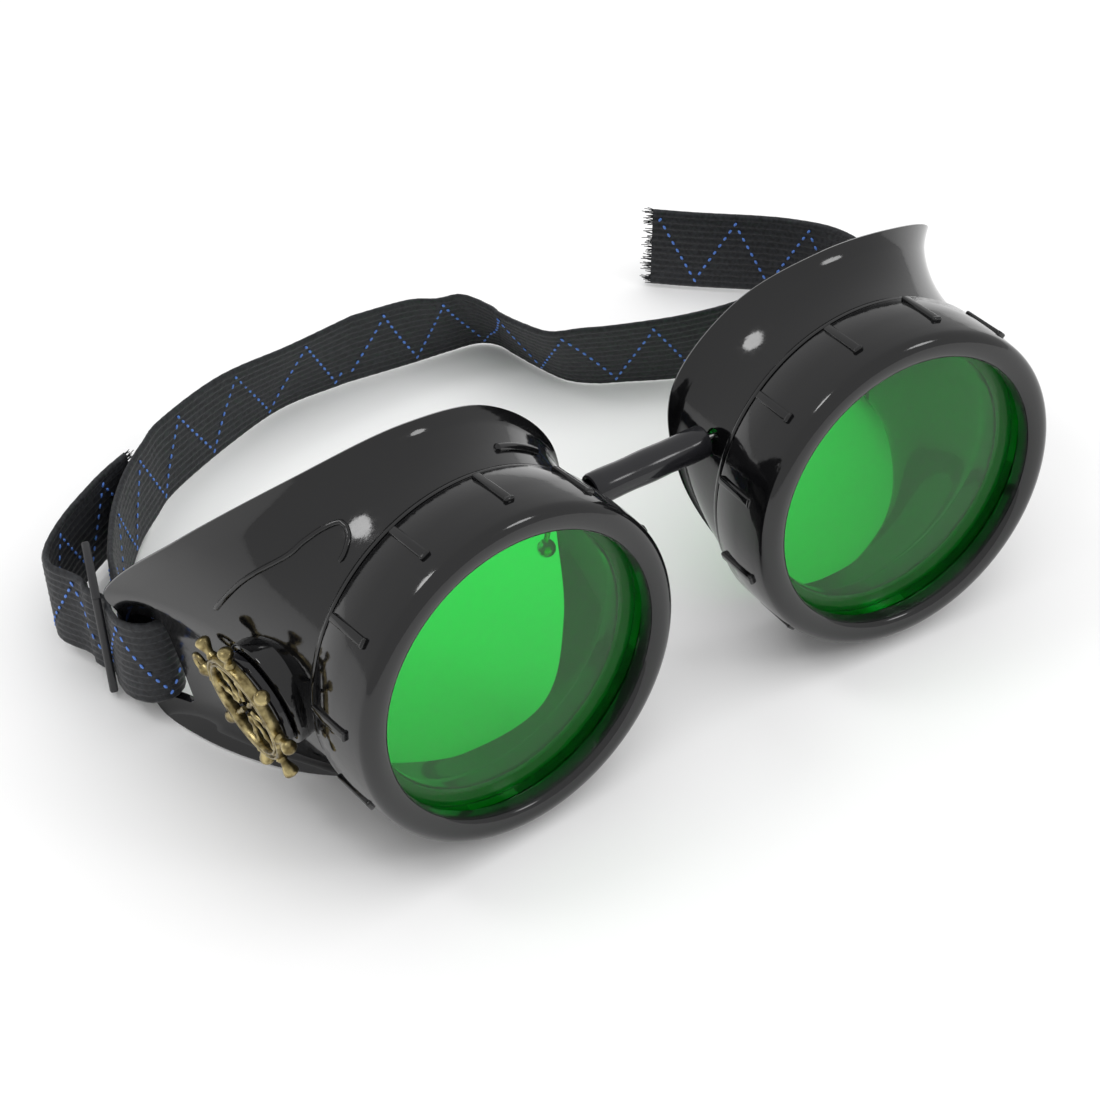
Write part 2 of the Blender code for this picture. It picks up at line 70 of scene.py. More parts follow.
# Rim of the shell: angle on the shoulder from the nose side, then x, z and depth y
RIM = (
    (0, 26.0, 0.0, 25.4),
    (30, 26.2, 15.0, 27.0),
    (60, 15.4, 27.3, 25.6),
    (90, 0.0, 32.2, 24.0),
    (120, -17.2, 29.6, 27.4),
    (146, -31.8, 20.4, 38.5),
    (170, -38.4, 5.4, 55.5),
    (184, -35.2, -4.4, 58.6),
    (205, -33.6, -22.0, 58.0),
    (218, -31.8, -23.4, 48.5),
    (231, -27.6, -24.6, 39.0),
    (243, -21.6, -25.8, 30.8),
    (256, -12.6, -26.9, 23.6),
    (272, -1.6, -27.5, 18.6),
    (300, 13.6, -23.6, 16.2),
    (330, 21.6, -12.4, 19.6),
)
SLOT_CENTRE, SLOT_SIZE, SLOT_FILLET = Vector((-33.0, 53.0, -10.3)), Vector((16.0, 5.6, 18.6)), 1.2

# Bridge: the chain's way through the nose walls, and its sleeve
HINGE = Vector((13.3, 20.5, 38.85))
HOLE_RADIUS, HOLE_HALF_LENGTH = 1.35, 6.0
SLEEVE_HALF_LENGTH, SLEEVE_RADIUS, SLEEVE_BORE_RADIUS, SLEEVE_WAVE = 10.7, 2.7, 1.95, 0.05

# Ship's wheel charm on a round button, on a pad on the left cup
CHARM_CENTRE, CHARM_NORMAL = Vector((-27.3, 24.86, -1.58)), Vector((-0.989, -0.011, -0.148))
CHARM_LOOP_DIRECTION = Vector((-0.02, 1.0, 0.035))
PAD_RADIUS, PAD_HEIGHT, PAD_ROOT, PAD_FILLET = 8.8, 2.4, -1.6, 0.5
BUTTON_RADIUS, BUTTON_HEIGHT, BUTTON_GAP = 8.0, 4.4, 0.25
WHEEL_LOW, WHEEL_THICKNESS, WHEEL_RADIUS, WHEEL_RIM_WIDTH = 4.65, 1.8, 9.0, 1.5
SPOKES, KNOB_RADIUS = 8, 12.4
# The loop's distance from the wheel's centre, its own radius and its wire's radius
HANGING_LOOP = (13.1, 1.5, 0.5)

# Strap: elastic webbing on its edge, as (x, y, height of its lower edge). Where it leans, two more numbers
# say how far its upper edge stands off its lower edge in x and y.
STRAP_WIDTH, STRAP_THICKNESS, STRAP_STEP = 17.6, 1.3, 0.9
WEB_RIBS, STEPS_PER_RIB, WEB_RIB_DEPTH, SELVEDGE_DEPTH = 12, 4, 0.26, 0.2
# The zigzag thread: the length of a leg along the strap, the dots in a leg and the clear margin beside it,
# then a dot's half sizes, its slant, how deep it sinks in and the clear length after the last one
LEG_LENGTH, DOTS_PER_LEG, THREAD_MARGIN = 7.35, 8, 1.9
DOT_SIZE, DOT_SLANT, DOT_SINK, LAST_DOT = (0.55, 0.3, 0.17), 60, 0.02, 0.8
# Loose fibres on a cut end: how many, half their width, and how deep they start in the webbing
FRAY_FIBRES, FIBRE_HALF_WIDTH, FIBRE_ROOT = 90, 0.09, 0.3
LEFT_END = (
    (-58.3, 91.7, 0.8), (-62.6, 89.4, 1.2), (-66.6, 87.0, 1.4), (-74.0, 81.6, 2.0), (-79.4, 76.2, 2.4),
    (-81.2, 71.6, 2.8),
)
LEFT_LOOP = (
    (-77.8, 53.4, 3.5), (-77.0, 51.0, 3.9), (-75.6, 49.3, 4.1), (-73.6, 48.6, 4.1), (-71.4, 48.7, 4.1),
    (-69.8, 50.2, 4.0), (-69.6, 53.4, 3.8), (-71.2, 56.8, 3.4),
)
LEFT_MAIN = (
    (-74.4, 59.3, 3.0), (-73.2, 63.9, 2.8), (-71.7, 68.6, 2.3), (-69.4, 73.4, 1.8), (-66.6, 78.6, 1.4),
    (-63.4, 83.4, 1.0), (-59.4, 88.2, 0.8), (-54.4, 92.8, 0.5), (-48.3, 97.5, 0.4, -0.7, -0.7),
    (-34.4, 103.6, 0.4, -0.8, -1.7), (-20.7, 107.8, 0.4, 0.3, -4.4), (-7.0, 107.7, 0.4, 0.8, -3.1),
)
RIGHT_MAIN = (
    (-7.0, 107.7, 0.4, 0.8, -3.1), (6.0, 106.0, 0.4, -1.4, -2.9),
    (14.0, 105.2, 0.4, -4.0, -4.0), (20.4, 104.2, 0.4, -5.5, -4.0),
    (23.8, 101.4, 0.4, -6.0, -6.0), (25.0, 97.0, 0.4, -7.0, -4.5), (26.6, 90.8, 0.4, -7.0, -3.6),
    (28.8, 84.9, 0.4, -6.5, -3.1), (32.6, 81.2, 0.4, -5.0, -2.6), (37.2, 78.7, 0.4, -4.0, -3.0),
    (46.8, 73.6, 0.5, -2.3, -2.6), (56.0, 70.6, 1.0, -0.5, -2.4), (64.0, 68.4, 1.8), (70.0, 65.6, 2.6),
    (72.6, 61.8, 3.0), (72.7, 59.0, 3.3),
)
RIGHT_LOOP = (
    (71.2, 56.8, 3.4), (69.6, 53.4, 3.8), (69.8, 50.2, 4.0), (71.4, 48.7, 4.1), (73.6, 48.6, 4.1),
    (75.6, 49.3, 4.1), (76.9, 51.0, 3.8),
)
FREE_END = (
    (85.2, 70.6, 2.0), (84.2, 76.6, 1.4), (81.2, 82.2, 0.8), (76.4, 87.6, 0.5), (66.4, 95.9, 0.4),
    (59.9, 101.6, 0.4),
)

# Slides: a plate with two slots each
SLIDE_SIZE, SLIDE_SLOT, SLIDE_SLOT_PLACE = (14.0, 1.4, 21.6), (4.8, 6.0, 18.4), 3.1
SLIDE_FILLET, SLIDE_SLOT_FILLET = 0.45, 0.5
SLIDE_CENTRE = {LEFT: Vector((-76.9, 64.0, 11.8)), RIGHT: Vector((80.2, 61.0, 11.8))}
SLIDE_ALONG = {LEFT: Vector((0.3, 0.954, 0.0)), RIGHT: Vector((0.12, 0.993, 0.0))}
# The strap through a slide, as (place along it, offset outwards), from the end away from the cup
WEAVE = ((3.6, 3.2), (0.8, 1.8), (-0.5, 1.75), (-3.1, 0.0), (-5.8, -1.75), (-7.8, -1.75))
WEAVE_HEIGHT = 3.0

# Raised lines on the left cup, as (angle, y) points on its outside, and their radii
U_RIDGE = ((163.9, 35.4), (150.5, 30.0), (137.9, 24.6), (130.8, 22.9), (124.5, 21.4), (120.6, 19.9),
           (122.0, 17.9), (126.6, 16.6), (130.0, 16.4))
SMALL_BAR = ((66.3, 18.4), (46.0, 20.2))
U_RIDGE_RADIUS, SMALL_BAR_RADIUS = 0.45, 0.8

# Studio and camera: each lamp is (place in metres, diameter in metres, power in watts). A material's
# two colours blend while its noise's value goes from RAMP_START to RAMP_END.
LAMPS = {
    "key": ((-0.9, 0.7, 1.6), 0.45, 4.0),
    "top": ((0.3, -0.4, 2.2), 3.5, 36.0),
    "front": ((1.0, -1.2, 1.1), 0.4, 2.5),
}
WORLD_STRENGTH = 0.66
RAMP_START, RAMP_END = 0.35, 0.65
FLOOR_HALF_SIZE = 3000.0
CAMERA_PLACE = Vector((-156.3, -187.1, 232.6 + LENS_HEIGHT))
CAMERA_PITCH_DOWN, CAMERA_TURN = 0.7509, -0.5868
CAMERA_LENS, SENSOR_WIDTH = 72.0, 36.0

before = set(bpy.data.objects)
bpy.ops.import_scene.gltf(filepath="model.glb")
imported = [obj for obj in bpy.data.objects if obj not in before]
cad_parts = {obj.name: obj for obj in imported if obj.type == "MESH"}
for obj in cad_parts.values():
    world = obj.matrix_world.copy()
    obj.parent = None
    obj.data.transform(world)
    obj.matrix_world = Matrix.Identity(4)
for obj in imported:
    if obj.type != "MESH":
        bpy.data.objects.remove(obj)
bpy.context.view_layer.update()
random.seed(7)


# Materials

def node_material(name, colour, roughness, metallic=0.0):
    made = bpy.data.materials.new(name)
    made.use_nodes = True
    shader = made.node_tree.nodes["Principled BSDF"]
    shader.inputs["Base Color"].default_value = (*colour, 1.0)
    shader.inputs["Roughness"].default_value = roughness
    shader.inputs["Metallic"].default_value = metallic
    return made, made.node_tree.nodes, made.node_tree.links, shader


def add_bump(nodes, links, shader, scale, strength, distance, detail=3.0):
    """Fine noise in the surface's height. Its noise node is returned."""
    coords = nodes.new("ShaderNodeTexCoord")
    noise = nodes.new("ShaderNodeTexNoise")
    noise.inputs["Scale"].default_value = scale
    noise.inputs["Detail"].default_value = detail
    bump = nodes.new("ShaderNodeBump")
    bump.inputs["Strength"].default_value = strength
    bump.inputs["Distance"].default_value = distance
    links.new(coords.outputs["Object"], noise.inputs["Vector"])
    links.new(noise.outputs["Fac"], bump.inputs["Height"])
    links.new(bump.outputs["Normal"], shader.inputs["Normal"])
    return noise


def ramp_between(nodes, links, source, low, high, out):
    """Drives the socket out between two colours by the source's value."""
    ramp = nodes.new("ShaderNodeValToRGB")
    ramp.color_ramp.elements[0].color = (*low, 1.0)
    ramp.color_ramp.elements[1].color = (*high, 1.0)
    ramp.color_ramp.elements[0].position = RAMP_START
    ramp.color_ramp.elements[1].position = RAMP_END
    links.new(source, ramp.inputs["Fac"])
    links.new(ramp.outputs["Color"], out)


def gloss_black():
    made, nodes, links, shader = node_material("gloss black plastic", (0.004, 0.004, 0.0045), 0.1)
    shader.inputs["Specular IOR Level"].default_value = 0.6
    noise = add_bump(nodes, links, shader, 900.0, 0.05, 0.0002)
    ramp_between(nodes, links, noise.outputs["Fac"], (0.06,) * 3, (0.11,) * 3, shader.inputs["Roughness"])
    return made


def lens_glass(name, colour, clear=1.0):
    """Glass that lets through the clear share of its light and scatters the rest in its own colour."""
    made, _, _, shader = node_material(name, colour, 0.0)
    shader.inputs["Transmission Weight"].default_value = clear
    shader.inputs["IOR"].default_value = 1.2
    return made


def brass():
    made, nodes, links, shader = node_material("antique brass", (0.46, 0.38, 0.17), 0.3, 1.0)
    noise = add_bump(nodes, links, shader, 700.0, 0.25, 0.0003)
    dark, bright = (0.15, 0.115, 0.05), (0.52, 0.43, 0.21)
    ramp_between(nodes, links, noise.outputs["Fac"], dark, bright, shader.inputs["Base Color"])
    return made


def webbing():
    made, nodes, links, shader = node_material("black webbing", (0.008, 0.009, 0.011), 0.6)
    shader.inputs["Sheen Weight"].default_value = 0.1
    shader.inputs["Sheen Roughness"].default_value = 0.4
    noise = add_bump(nodes, links, shader, 1500.0, 0.6, 0.0003, 4.0)
    dark, bright = (0.004, 0.0045, 0.006), (0.018, 0.02, 0.024)
    ramp_between(nodes, links, noise.outputs["Fac"], dark, bright, shader.inputs["Base Color"])
    return made


BLACK = gloss_black()
SLEEVE = node_material("black vinyl sleeve", (0.012, 0.012, 0.014), 0.13)[0]
BUTTON = node_material("polished black button", (0.008, 0.008, 0.010), 0.05)[0]
BRASS = brass()
WEBBING = webbing()
THREAD = node_material("pale blue thread", (0.10, 0.24, 0.72), 0.5)[0]
SLIDE_LOOK = node_material("satin black slide", (0.012, 0.012, 0.014), 0.35)[0]
GREEN = lens_glass("green lens glass", (0.012, 0.8, 0.075), 0.93)
CLEAR = lens_glass("clear cover lens", (0.95, 0.99, 0.96))
FIBRE = node_material("grey fibre", (0.22, 0.2, 0.18), 0.85)[0]
NICKEL = node_material("nickel chain", (0.62, 0.62, 0.62), 0.22, 1.0)[0]


# Meshes

def cup_matrix(side):
    """From a cup's own frame to the world: tipped up, toed in and set beside the middle plane."""
    place = Matrix.Translation((Vector((side * HALF_SPACING, 0.0, LENS_HEIGHT)) + SHIFT) * MM)
    turn = Matrix.Rotation(-side * math.radians(TOE_IN), 4, "Z")
    return place @ turn @ Matrix.Rotation(-math.radians(TIP_UP), 4, "X")


def mirror(side):
    """Millimetres to metres, and the right-hand cup's frame mirrored in x."""
    return Matrix.Diagonal((-MM if side == RIGHT else MM, MM, MM, 1.0))


def piece(name, bm, matrix, looks, sharp=SHARP_ANGLE):
    """An object from a bmesh in millimetres, its points moved straight into the row frame."""
    bmesh.ops.transform(bm, matrix=matrix, verts=bm.verts)
    bmesh.ops.recalc_face_normals(bm, faces=bm.faces)
    mesh = bpy.data.meshes.new(name)
    bm.to_mesh(mesh)
    bm.free()
    mesh.shade_smooth()
    mesh.set_sharp_from_angle(angle=math.radians(sharp))
    for look in looks:
        mesh.materials.append(look)
    made = bpy.data.objects.new(name, mesh)
    bpy.context.collection.objects.link(made)
    return made


def boolean(target, tool, operation):
    """Cuts the tool from the target or joins it on, and leaves the target a plain mesh."""
    step = target.modifiers.new("step", "BOOLEAN")
    step.operation, step.object = operation, tool
    bpy.context.view_layer.update()
    done = bpy.data.meshes.new_from_object(target.evaluated_get(bpy.context.evaluated_depsgraph_get()))
    target.modifiers.clear()
    target.data = done
    done.shade_smooth()
    done.set_sharp_from_angle(angle=math.radians(SHARP_ANGLE))
    bpy.data.objects.remove(tool, do_unlink=True)


def round_angles(count):
    """Angles in radians, evenly spaced round a circle."""
    return [2 * math.pi * i / count for i in range(count)]


def lofted(rows, closed_rows=True, caps=False):
    """A body from loops of points, each joined to the next. closed_rows joins the last to the first."""
    bm = bmesh.new()
    loops = [[bm.verts.new(point) for point in row] for row in rows]
    pairs = list(zip(loops, loops[1:])) + ([(loops[-1], loops[0])] if closed_rows else [])
    for low, high in pairs:
        for i in range(len(low)):
            j = (i + 1) % len(low)
            bm.faces.new((low[i], low[j], high[j], high[i]))
    if caps:
        bm.faces.new(reversed(loops[0]))
        bm.faces.new(loops[-1])
    return bm


def turned(profile, segments=160):
    """A ring about the y axis from its closed (radius, y) profile."""
    angles = round_angles(segments)
    return lofted([[(r * math.cos(a), y, r * math.sin(a)) for a in angles] for r, y in profile])


def rings_about_z(profile, segments):
    """Circles about the z axis, one for each (radius, z) of the profile."""
    return [[(r * math.cos(a), r * math.sin(a), z) for a in round_angles(segments)] for r, z in profile]


def spun(profile, segments):
    """A solid about the z axis from an open (radius, z) profile."""
    return lofted(rings_about_z(profile, segments), closed_rows=False, caps=True)


def add_to(bm, other, matrix):
    """Adds the other bmesh's faces, moved by the matrix, to bm."""
    table = [bm.verts.new(matrix @ vert.co) for vert in other.verts]
    other.verts.index_update()
    for face in other.faces:
        made = bm.faces.new([table[vert.index] for vert in face.verts])
        made.material_index = face.material_index
    other.free()


def cylinder(radius, start, end, segments):
    start, end = Vector(start), Vector(end)
    bm = bmesh.new()
    turn = (end - start).to_track_quat("Z", "Y").to_matrix().to_4x4()
    bmesh.ops.create_cone(bm, cap_ends=True, segments=segments, radius1=radius, radius2=radius,
                          depth=(end - start).length, matrix=Matrix.Translation((start + end) / 2) @ turn)
    return bm


def rounded_box(size, fillet):
    bm = bmesh.new()
    bmesh.ops.create_cube(bm, size=1.0, matrix=Matrix.Diagonal((*size, 1.0)))
    bmesh.ops.bevel(bm, geom=bm.edges[:], offset=fillet, segments=3, profile=0.5, affect="EDGES")
    return bm


def smooth_path(points, step):
    """Points about a step apart on a Catmull-Rom curve through the given rows of numbers."""
    points = [np.array(point, float) for point in points]
    padded = [2 * points[0] - points[1], *points, 2 * points[-1] - points[-2]]
    path = []
    for a, b, c, d in zip(padded, padded[1:], padded[2:], padded[3:]):
        pieces = max(1, round(float(np.linalg.norm((c - b)[:3])) / step))
        for k in range(pieces):
            t = k / pieces
            path.append(0.5 * (2 * b + (c - a) * t + (2 * a - 5 * b + 4 * c - d) * t ** 2
                               + (3 * b - a - 3 * c + d) * t ** 3))
    return [*path, points[-1]]


# Eye cups

def rim_point(angle):
    """The rim at an angle in degrees: a cubic through the RIM rows, as a vector (x, y, z)."""
    rows = [(RIM[-2][0] - 360, *RIM[-2][1:]), (RIM[-1][0] - 360, *RIM[-1][1:]), *RIM]
    rows += [(row[0] + 360, *row[1:]) for row in RIM[:3]]
    k = next(i for i in range(2, len(rows)) if rows[i][0] > angle) - 1
    before, low, high, after = (Vector((r[1], r[3], r[2])) for r in rows[k - 1:k + 3])
    a0, a1, a2, a3 = (r[0] for r in rows[k - 1:k + 3])
    t = (angle - a1) / (a2 - a1)
    slope_low = (high - before) * (a2 - a1) / (a2 - a0)
    slope_high = (after - low) * (a2 - a1) / (a3 - a1)
    return (low * (2 * t ** 3 - 3 * t ** 2 + 1) + slope_low * (t ** 3 - 2 * t ** 2 + t)
            + high * (3 * t ** 2 - 2 * t ** 3) + slope_high * (t ** 3 - t ** 2))


def shell_point(angle, t, inset):
    """A point of the shell at t from the shoulder, 0, to the rim, 1, inset towards the lens axis."""
    rim = rim_point(angle)
    a = math.radians(angle)
    spread = 0.35 * t + 0.65 * t ** 3
    x = SHELL_RADIUS * math.cos(a) * (1 - spread) + rim.x * spread
    z = SHELL_RADIUS * math.sin(a) * (1 - spread) + rim.z * spread
    y = SHOULDER_REAR + (rim.y - SHOULDER_REAR) * t
    keep = 1 - inset / math.hypot(x, z)
    return Vector((x * keep, y, z * keep))


def shell_at(angle, y):
    """The place on the outside of the shell at an angle and a depth."""
    return shell_point(angle, (y - SHOULDER_REAR) / (rim_point(angle).y - SHOULDER_REAR), 0.0)


def raised_line(line, radius):
    """A rounded bead along a line on the shell."""
    path = [shell_at(angle, y) for angle, y, _ in smooth_path([(a, y, 0.0) for a, y in line], 1.0)]
    loops = []
    for k, point in enumerate(path):
        ahead = (path[min(k + 1, len(path) - 1)] - path[max(k - 1, 0)]).normalized()
        out = Vector((point.x, 0.0, point.z)).normalized()
        side = ahead.cross(out).normalized()
        size = radius * (0.35 if k in (0, len(path) - 1) else 1.0)
        loops.append([point + size * (math.cos(a) * side + math.sin(a) * out)
                      for a in round_angles(12)])
    return lofted(loops, closed_rows=False, caps=True)


def barrel_rows(angles):
    """Rows outside the threaded barrel and shoulder, up to the shell, and rows inside, back to the ledge."""

    def circle(radius, y, thread=0.0):
        """A circle, or with a thread depth one row of the ring's thread."""
        row = []
        for a in angles:
            wave = abs(((y / THREAD_PITCH - a / (2 * math.pi)) % 1.0) - 0.5) * 2
            r = radius + thread * (min(1.0, 1.6 * wave) - 0.5)
            row.append(Vector((r * math.cos(a), y, r * math.sin(a))))
        return row

    outside = [circle(LEDGE_RADIUS, BARREL_FRONT), circle(BARREL_RADIUS - 0.3, BARREL_FRONT),
               circle(BARREL_RADIUS, BARREL_FRONT + 0.2)]
    outside += [circle(BARREL_RADIUS + 0.05, THREAD_FRONT + THREAD_STEP * k, THREAD_DEPTH)
                for k in range(THREAD_ROWS)]
    outside += [circle(r, y) for r, y in (
        (BARREL_RADIUS, SHOULDER_FRONT - 0.1), (SHOULDER_RADIUS - 0.3, SHOULDER_FRONT),
        (SHOULDER_RADIUS - 0.05, SHOULDER_FRONT + 0.1), (SHOULDER_RADIUS, SHOULDER_FRONT + 0.4),
        (SHOULDER_RADIUS - 0.05, SHOULDER_REAR - 0.2), (SHOULDER_RADIUS - 0.3, SHOULDER_REAR + 0.1))]
    inside = [circle(r, y) for r, y in (
        (25.2, SHOULDER_REAR - 0.1), (24.5, SHOULDER_FRONT + 0.2), (BARREL_BORE_RADIUS, SHOULDER_FRONT - 0.4),
        (BARREL_BORE_RADIUS, BARREL_FRONT + 1.4), (LEDGE_RADIUS, BARREL_FRONT + 1.4))]
    return outside, inside


def shell_rows(degrees):
    """The shell's outside, its rounded lip and its inside, from the shoulder round to the barrel's bore."""
    rows = []
    for i in range(SHELL_ROWS + 1):
        t = 0.01 + (LIP_START - 0.01) * (i / SHELL_ROWS)
        flare = LIP_FLARE * max(0.0, (t - FLARE_START) / (LIP_START - FLARE_START)) ** 2
        points = [shell_point(a, t, 0.0) for a in degrees]
        rows.append([point + Vector((point.x, 0.0, point.z)).normalized() * flare for point in points])
    for turn in (20, 50, 80, 110, 140, 165):
        inset = LIP_THICKNESS * (1 - math.cos(math.radians(turn))) - LIP_FLARE
        back = Vector((0.0, LIP_DEPTH * math.sin(math.radians(turn)), 0.0))
        rows.append([shell_point(a, LIP_START, inset) + back for a in degrees])
    for t in reversed([i / INNER_ROWS for i in range(1, INNER_ROWS)]):
        rows.append([shell_point(a, t, WALL - 0.3 * max(0.0, (t - 0.8) / 0.2)) for a in degrees])
    return rows


def charm_pad():
    """The pad's cylinder in the charm's frame, with its outer edge rounded."""
    pad = cylinder(PAD_RADIUS, (0, 0, PAD_ROOT), (0, 0, PAD_HEIGHT), 64)
    outer_edges = [e for e in pad.edges if all(v.co.z > PAD_HEIGHT - 0.1 for v in e.verts)]
    bmesh.ops.bevel(pad, geom=outer_edges, offset=PAD_FILLET, segments=3, profile=0.5, affect="EDGES")
    return pad


def cup_shell(side):
    count = 480
    degrees = [360 * i / count for i in range(count)]
    outside, inside = barrel_rows([math.radians(a) for a in degrees])
    name = NAMES[side]
    world = cup_matrix(side) @ mirror(side)
    body = lofted([*outside, *shell_rows(degrees), *inside])
    if side == LEFT:
        add_to(body, raised_line(U_RIDGE, U_RIDGE_RADIUS), Matrix.Identity(4))
        add_to(body, raised_line(SMALL_BAR, SMALL_BAR_RADIUS), Matrix.Identity(4))
    shell = piece(f"{name}_cup_shell", body, world, [BLACK])
    if side == LEFT:
        boolean(shell, piece("pad", charm_pad(), world @ charm_turn(), [BLACK]), "UNION")
    slot = rounded_box(SLOT_SIZE, SLOT_FILLET)
    boolean(shell, piece("slot", slot, world @ Matrix.Translation(SLOT_CENTRE), [BLACK]), "DIFFERENCE")
    ends = [(Vector((side * HINGE.x + x, HINGE.y, HINGE.z)) + SHIFT)
            for x in (-HOLE_HALF_LENGTH, HOLE_HALF_LENGTH)]
    hole = piece("hole", cylinder(HOLE_RADIUS, *ends, 32), Matrix.Scale(MM, 4), [BLACK])
    boolean(shell, hole, "DIFFERENCE")
    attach(shell, f"{name}_cup")
    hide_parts(f"{name}_eye_cup")


# Lens rings

def ring_profile():
    """The ring's section: a rounded front, a long slightly tapered side, and the bore with its thread."""
    profile = [(OPENING_RADIUS, 1.9), (OPENING_RADIUS, 0.4), (OPENING_RADIUS + 0.1, 0.0)]
    crest = 25.9
    inner_arc = [math.radians(a) for a in range(12, 90, 12)]
    outer_arc = [math.radians(a) for a in range(0, 84, 9)]
    profile += [(crest - 2.0 * math.cos(a), -0.15 - 0.95 * math.sin(a)) for a in inner_arc]
    profile += [(crest + 2.35 * math.sin(a), 0.85 - 1.95 * math.cos(a)) for a in outer_arc]
    profile += [(28.32, 1.4), (28.42, 2.2), (28.5, 3.2), (28.56, 4.6), (RING_RADIUS, 6.5),
                (RING_RADIUS, RING_REAR - 0.4), (RING_RADIUS - 0.15, RING_REAR - 0.1),
                (RING_RADIUS - 0.4, RING_REAR), (RING_BORE_RADIUS + 0.2, RING_REAR),
                (RING_BORE_RADIUS, RING_REAR - 0.2)]
    profile += [(RING_BORE_RADIUS + 0.16 * (k % 2), RING_REAR - 0.4 - 0.5 * k) for k in range(9)]
    profile += [(RING_BORE_RADIUS, 7.3), (RING_POCKET_RADIUS, 7.3), (RING_POCKET_RADIUS, 2.0),
                (OPENING_RADIUS + 0.25, 2.0)]
    return profile


def ring(side):
    body = turned(ring_profile(), 192)
    for k in range(RIB_COUNT):
        turn = Matrix.Rotation(-math.radians(RIB_PHASE[side] + 360 // RIB_COUNT * k), 4, "Y")
        rib = rounded_box(RIB_SIZE, RIB_FILLET)
        add_to(body, rib, turn @ Matrix.Translation((RING_RADIUS, RIB_REAR - RIB_SIZE[1] / 2, 0.0)))
        foot = rounded_box(RIB_FOOT_SIZE, RIB_FOOT_FILLET)
        add_to(body, foot, turn @ Matrix.Translation((RING_RADIUS, RIB_FOOT_DEPTH, 0.0)))
    name = NAMES[side]
    made = piece(f"{name}_lens_ring", body, cup_matrix(side) @ mirror(side), [BLACK])
    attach(made, f"{name}_ring")
    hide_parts(f"{name}_retaining_ring")


def lenses(side):
    name = NAMES[side]
    world = cup_matrix(side) @ mirror(side)
    for part, look, slot in (("cover_lens", CLEAR, "clear_lens"), ("green_lens", GREEN, "green_lens")):
        front, rear = LENS_DEPTHS[part]
        disc = cylinder(LENS_RADIUS, (0, front, 0), (0, rear, 0), 160)
        made = piece(f"{name}_{part}_glass", disc, world, [look])
        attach(made, f"{name}_lenses")
        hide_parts(f"{name}_{part}")


# Bridge

def bridge():
    length, radius, bore = SLEEVE_HALF_LENGTH, SLEEVE_RADIUS, SLEEVE_BORE_RADIUS
    straight = length - 0.4
    profile = [(bore, -length), (2.2, -length - 0.15), (2.55, -length), (radius, -straight)]
    profile += [(radius + SLEEVE_WAVE * math.sin(k * 1.3), -straight + 2 * straight * k / 12)
                for k in range(1, 12)]
    profile += [(radius, straight), (2.55, length), (2.2, length + 0.15), (bore, length)]
    centre = (Vector((0.0, HINGE.y, HINGE.z)) + SHIFT) * MM
    lie = Matrix.Translation(centre) @ Matrix.Rotation(math.radians(90), 4, "Z") @ Matrix.Scale(MM, 4)
    tube = piece("bridge_tube", turned(profile, 64), lie, [SLEEVE])
    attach(tube, "bridge")
    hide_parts("bridge_sleeve")


# Charm

def charm_turn():
    """The charm's own frame on the left cup, with z out of the temple and x towards its hanging loop."""
    out = CHARM_NORMAL.normalized()
    up = (CHARM_LOOP_DIRECTION - out * CHARM_LOOP_DIRECTION.dot(out)).normalized()
    return Matrix.Translation(CHARM_CENTRE) @ Matrix((up, out.cross(up), out)).transposed().to_4x4()


def charm_button(world):
    low, top, radius = PAD_HEIGHT + BUTTON_GAP, BUTTON_HEIGHT, BUTTON_RADIUS
    profile = [(radius - 0.5, low), (radius, low + 0.3), (radius, top - 0.7), (radius - 0.2, top - 0.3),
               (radius - 0.7, top - 0.05), (radius - 1.6, top)]
    button = piece("charm_button_disc", spun(profile, 96), world, [BUTTON])
    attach(button, "left_cup")
    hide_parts("charm_button")


def hanging_loop(middle):
    """The loop that the charm would hang by, in the wheel's plane."""
    reach, major, minor = HANGING_LOOP
    rows = []
    for b in round_angles(14):
        radius, height = major + minor * math.cos(b), middle + minor * math.sin(b)
        rows.append([(reach + radius * math.cos(a), radius * math.sin(a), height) for a in round_angles(40)])
    return lofted(rows)


def ships_wheel(world):
    low, high = WHEEL_LOW, WHEEL_LOW + WHEEL_THICKNESS
    middle = (low + high) / 2
    inner, outer = WHEEL_RADIUS - WHEEL_RIM_WIDTH, WHEEL_RADIUS
    rim = [(inner, low + 0.3), (inner + 0.2, low), (outer - 0.25, low), (outer, low + 0.3),
           (outer, high - 0.3), (outer - 0.2, high), (outer - 0.5, high), (outer - 0.65, high - 0.3),
           (inner + 0.65, high - 0.3), (inner + 0.5, high), (inner + 0.2, high), (inner, high - 0.3)]
    spoke = [(0.4, 1.6), (0.45, 2.4), (0.55, 2.9), (0.42, 3.3), (0.3, 3.9), (0.36, 4.7), (0.5, 5.3),
             (0.36, 5.9), (0.3, 6.4), (0.45, 6.9), (0.45, 7.7)]
    knob = [(0.8, outer - 0.2), (0.95, outer + 0.1), (0.8, outer + 0.4), (0.62, outer + 0.7),
            (0.75, outer + 1.2), (1.0, outer + 1.8), (1.2, outer + 2.4), (1.2, outer + 2.8),
            (0.95, outer + 3.15), (0.5, KNOB_RADIUS - 0.05)]
    wheel = lofted(rings_about_z(rim, 96))
    for k in range(SPOKES):
        out = Matrix.Rotation(2 * math.pi * k / SPOKES, 4, "Z") @ Matrix.Translation((0, 0, middle))
        turn = out @ Matrix.Rotation(math.radians(90), 4, "Y")
        add_to(wheel, spun(spoke, 16), turn)
        add_to(wheel, spun(knob, 20), turn)
    add_to(wheel, hanging_loop(middle), Matrix.Identity(4))
    made = piece("ships_wheel", wheel, world, [BRASS])
    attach(made, "left_cup")
    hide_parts("ships_wheel_charm")


